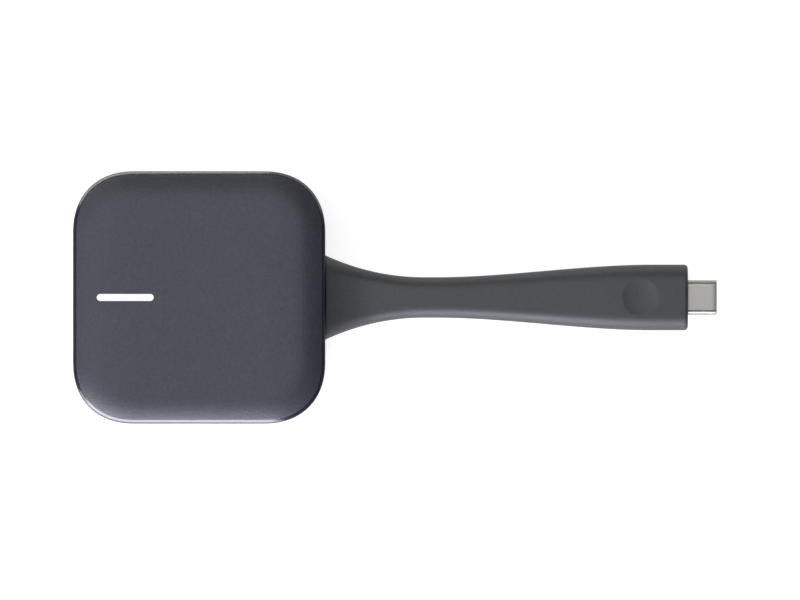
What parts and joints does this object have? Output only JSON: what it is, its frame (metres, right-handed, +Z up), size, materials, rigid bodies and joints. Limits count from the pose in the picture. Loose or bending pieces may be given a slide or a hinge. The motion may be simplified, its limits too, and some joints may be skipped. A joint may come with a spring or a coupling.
{
  "type": "streaming media dongle",
  "caption": "Rounded square puck with a press-down lid and a status light bar, and a short flat flexible lead that ends in a thumb grip and a USB-C plug.",
  "frame": {"origin": "centre of the puck's foot, on the surface it stands on", "axes": "+X from the puck's centre along the lead to the plug, +Z up through the lid"},
  "size_m": [0.1532, 0.06, 0.014],
  "materials": {
    "soft_touch_plastic": "fine moulded grain, dark grey",
    "housing_plastic": "fine moulded grain, dark grey",
    "frame_plastic": "plain moulded, black",
    "light_pipe_plastic": "milky, lit from below",
    "foot_silicone": "matt silicone",
    "pad_silicone": "translucent silicone",
    "lead_elastomer": "matt moulded elastomer, dark grey",
    "cable_jacket": "plain extruded jacket",
    "wire_insulation": "coloured insulation",
    "screw_steel": "black-zinc plated",
    "board_laminate": "solder-masked laminate",
    "chip_resin": "moulded epoxy",
    "can_steel": "tinned sheet",
    "plug_steel": "drawn and nickel plated",
    "clamp_steel": "stamped sheet",
    "spreader_aluminium": "blanked sheet",
    "thermal_silicone": "filled silicone gel",
    "antenna_copper": "gilt spring sheet",
    "contact_gold": "gold plated",
    "connector_plastic": "natural moulded resin",
    "insulator_plastic": "black moulded resin",
    "capacitor_ceramic": "fired ceramic with tinned ends",
    "inductor_ferrite": "pressed ferrite",
    "crystal_can": "welded lid",
    "lamp_resin": "phosphor resin",
    "switch_plastic": "moulded, with a steel cover",
    "stem_plastic": "moulded"
  },
  "bodies": {
    "puck": {"antenna_left": "antenna_copper", "antenna_right": "antenna_copper", "board_connector": "connector_plastic", "cable_clamp": "clamp_steel", "capacitors": "capacitor_ceramic", "clamp_screws": "screw_steel", "flash_chip": "chip_resin", "foot_pad": "foot_silicone", "heat_spreader": "spreader_aluminium", "housing_screws": "screw_steel", "indicator_lamps": "lamp_resin", "lead_cable": "cable_jacket", "lead_connector": "connector_plastic", "lead_root": "lead_elastomer", "lead_wires": "wire_insulation", "light_shade": "frame_plastic", "lower_housing": "housing_plastic", "main_board": "board_laminate", "middle_frame": "frame_plastic", "power_inductors": "inductor_ferrite", "processor_chip": "chip_resin", "processor_shield": "can_steel", "radio_chip": "chip_resin", "radio_shield": "can_steel", "return_pads": "pad_silicone", "switch_body": "switch_plastic", "thermal_pad": "thermal_silicone", "timing_crystal": "crystal_can"},
    "lid": {"button_lid": "soft_touch_plastic", "light_pipe": "light_pipe_plastic"},
    "stem": {"switch_stem": "stem_plastic"},
    "lead_1": {"lead_link_1": "lead_elastomer"},
    "lead_2": {"lead_link_2": "lead_elastomer"},
    "lead_3": {"lead_link_3": "lead_elastomer"},
    "lead_4": {"lead_link_4": "lead_elastomer"},
    "lead_5": {"lead_link_5": "lead_elastomer"},
    "plug": {"plug_grip": "lead_elastomer", "plug_inner_mould": "connector_plastic", "plug_rear_can": "can_steel", "cable_crimp": "can_steel", "plug_card": "board_laminate", "plug_chip": "chip_resin", "plug_shell": "plug_steel", "plug_insulator": "insulator_plastic", "plug_contacts": "contact_gold", "plug_latches": "clamp_steel"}
  },
  "joints": [
    {"name": "button_press", "type": "slide", "parent": "puck", "child": "lid", "axis": [0, 0, -1], "range_m": [0, 0.0004], "stiffness_N_per_m": 1500, "springref_m": -0.001, "deforming": ["return_pads"]},
    {"name": "switch_travel", "type": "slide", "parent": "puck", "child": "stem", "axis": [0, 0, -1], "range_m": [0, 0.0004]},
    {"name": "lead_bend_1", "type": "hinge", "parent": "puck", "child": "lead_1", "pos_m": [0.044, 0, 0.0056], "axis": [0, 1, 0], "range_deg": [-15, 15], "stiffness_Nm_per_rad": 0.2, "deforming": ["lead_cable"]},
    {"name": "lead_bend_2", "type": "hinge", "parent": "lead_1", "child": "lead_2", "pos_m": [0.052, 0, 0.0056], "axis": [0, 1, 0], "range_deg": [-15, 15], "stiffness_Nm_per_rad": 0.2},
    {"name": "lead_bend_3", "type": "hinge", "parent": "lead_2", "child": "lead_3", "pos_m": [0.06, 0, 0.0056], "axis": [0, 1, 0], "range_deg": [-15, 15], "stiffness_Nm_per_rad": 0.2},
    {"name": "lead_bend_4", "type": "hinge", "parent": "lead_3", "child": "lead_4", "pos_m": [0.068, 0, 0.0056], "axis": [0, 1, 0], "range_deg": [-15, 15], "stiffness_Nm_per_rad": 0.2},
    {"name": "lead_bend_5", "type": "hinge", "parent": "lead_4", "child": "lead_5", "pos_m": [0.076, 0, 0.0056], "axis": [0, 1, 0], "range_deg": [-15, 15], "stiffness_Nm_per_rad": 0.2},
    {"name": "lead_bend_6", "type": "hinge", "parent": "lead_5", "child": "plug", "pos_m": [0.084, 0, 0.0056], "axis": [0, 1, 0], "range_deg": [-15, 15], "stiffness_Nm_per_rad": 0.2}
  ],
  "couplings": [
    {"joint": "switch_travel", "follows": "button_press", "ratio": 1},
    {"joint": "lead_bend_2", "follows": "lead_bend_1", "ratio": 1},
    {"joint": "lead_bend_3", "follows": "lead_bend_1", "ratio": 1},
    {"joint": "lead_bend_4", "follows": "lead_bend_1", "ratio": 1},
    {"joint": "lead_bend_5", "follows": "lead_bend_1", "ratio": 1},
    {"joint": "lead_bend_6", "follows": "lead_bend_1", "ratio": 1}
  ]
}
